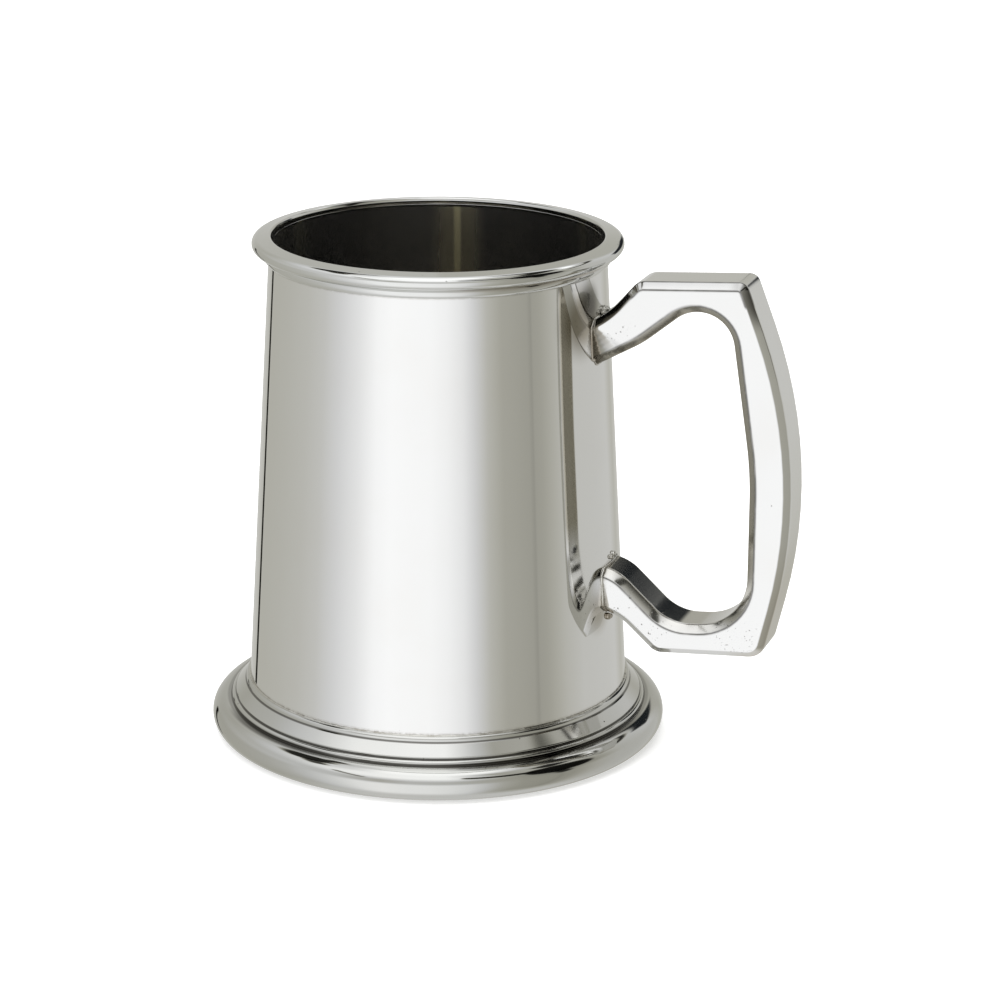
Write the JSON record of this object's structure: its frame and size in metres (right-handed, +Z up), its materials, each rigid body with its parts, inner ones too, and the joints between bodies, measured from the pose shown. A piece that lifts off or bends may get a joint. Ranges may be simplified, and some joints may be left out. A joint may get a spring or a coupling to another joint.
{
  "type": "pewter tankard",
  "caption": "Straight-sided pewter tankard: a tapered polished drum with a rolled rim, a moulded spreading foot and a cast D-shaped handle soldered to its side.",
  "frame": {"origin": "The centre of the foot's resting ring, on the table plane and on the drum's axis.", "axes": "+Z is up along the drum's axis, out of the mouth. +X points from the axis to the handle. -Z is the resting face's outward normal."},
  "size_m": [0.1408, 0.1082, 0.12],
  "materials": {
    "drum_pewter": "mirror-polished pewter",
    "rim_pewter": "polished pewter",
    "floor_pewter": "oxidised, lightly brushed pewter",
    "foot_pewter": "polished pewter, darkened in the creases",
    "handle_pewter": "buffed cast pewter with small casting pits",
    "solder": "dull solder"
  },
  "bodies": {
    "root": {"drum": "drum_pewter", "rim_moulding": "rim_pewter", "floor_plate": "floor_pewter", "foot_moulding": "foot_pewter", "handle": "handle_pewter", "rim_solder": "solder", "floor_solder": "solder", "foot_solder": "solder", "upper_handle_solder": "solder", "lower_handle_solder": "solder"}
  },
  "joints": []
}
